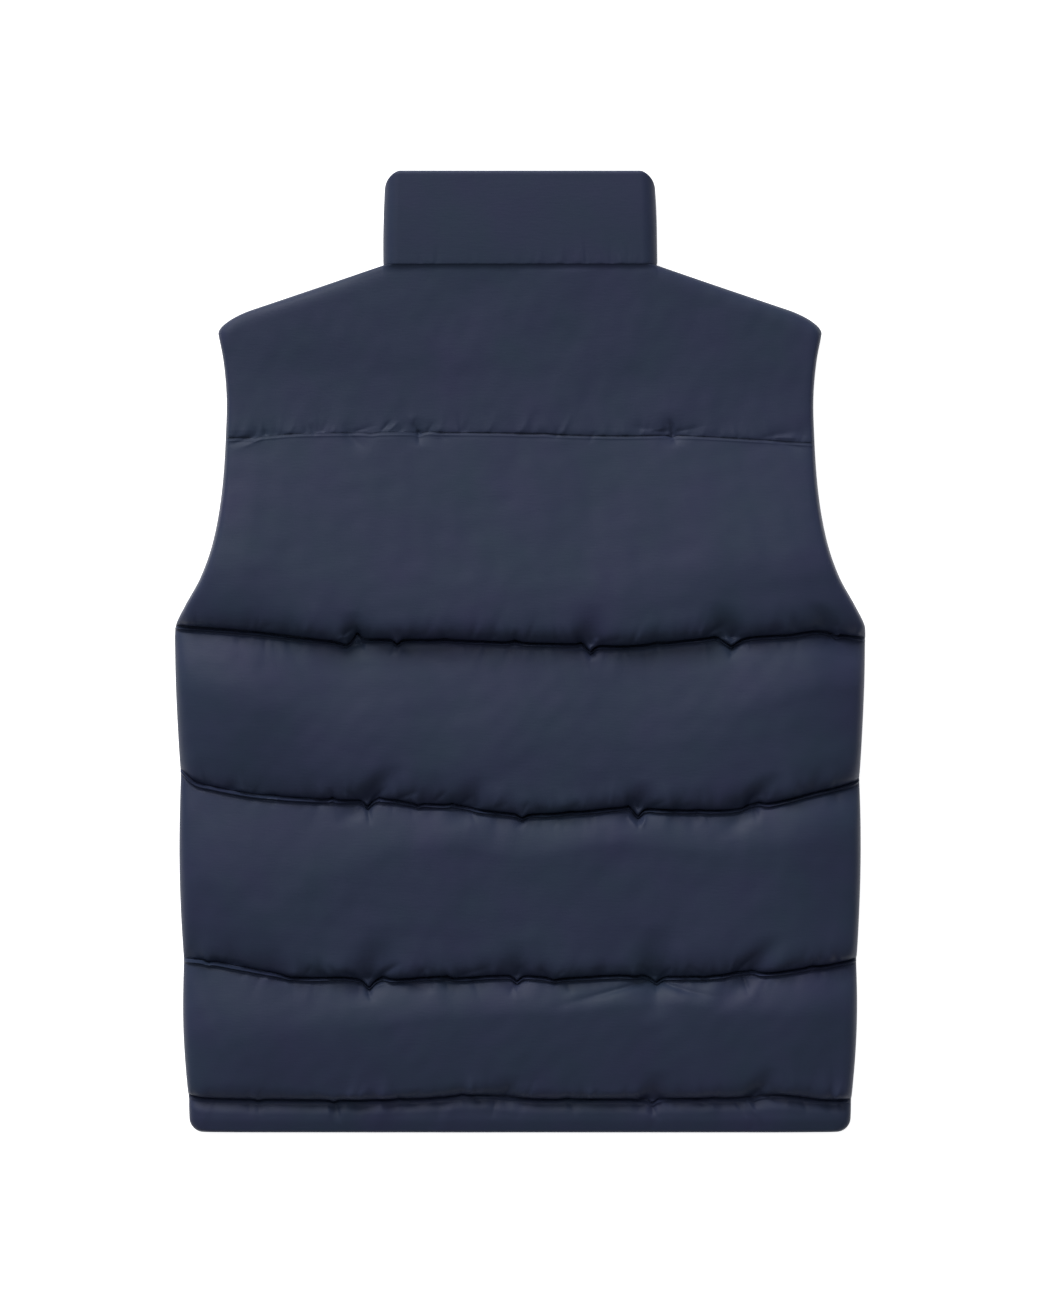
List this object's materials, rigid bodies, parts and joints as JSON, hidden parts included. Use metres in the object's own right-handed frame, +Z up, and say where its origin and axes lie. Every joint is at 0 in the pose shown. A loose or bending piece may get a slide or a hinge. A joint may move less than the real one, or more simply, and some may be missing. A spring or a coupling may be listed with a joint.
{
  "type": "padded vest",
  "caption": "Navy padded vest with a stand collar and a full-length front zip, quilted across into wide baffles and laid flat on its front.",
  "frame": {"origin": "the surface that the vest lies on, under the middle of its outline", "axes": "+X across the vest towards the wearer's right, +Y from the hem to the collar, +Z up, out of the back"},
  "size_m": [0.5726, 0.7968, 0.0474],
  "materials": {
    "navy_cloth": "woven, soft sheen",
    "zip_cloth": "matt",
    "zip_metal": "dark satin"
  },
  "bodies": {
    "garment": {"back_yoke": "navy_cloth", "back_upper_baffle": "navy_cloth", "back_middle_baffle": "navy_cloth", "back_lower_baffle": "navy_cloth", "back_waist_baffle": "navy_cloth", "back_hem": "navy_cloth", "front_left_yoke": "navy_cloth", "front_left_upper_baffle": "navy_cloth", "front_left_middle_baffle": "navy_cloth", "front_left_lower_baffle": "navy_cloth", "front_left_waist_baffle": "navy_cloth", "front_left_hem": "navy_cloth", "front_right_yoke": "navy_cloth", "front_right_upper_baffle": "navy_cloth", "front_right_middle_baffle": "navy_cloth", "front_right_lower_baffle": "navy_cloth", "front_right_waist_baffle": "navy_cloth", "front_right_hem": "navy_cloth", "collar": "navy_cloth", "zip_tape": "zip_cloth", "zip_chain": "zip_cloth", "zip_box": "zip_metal", "zip_slider": "zip_metal"},
    "pull_tab": {"zip_pull": "zip_metal"}
  },
  "joints": [
    {"name": "pull_tab_hinge", "type": "hinge", "parent": "garment", "child": "pull_tab", "pos_m": [0, 0.3226, 0.0058], "axis": [1, 0, 0], "range_deg": [-11, 165]}
  ]
}
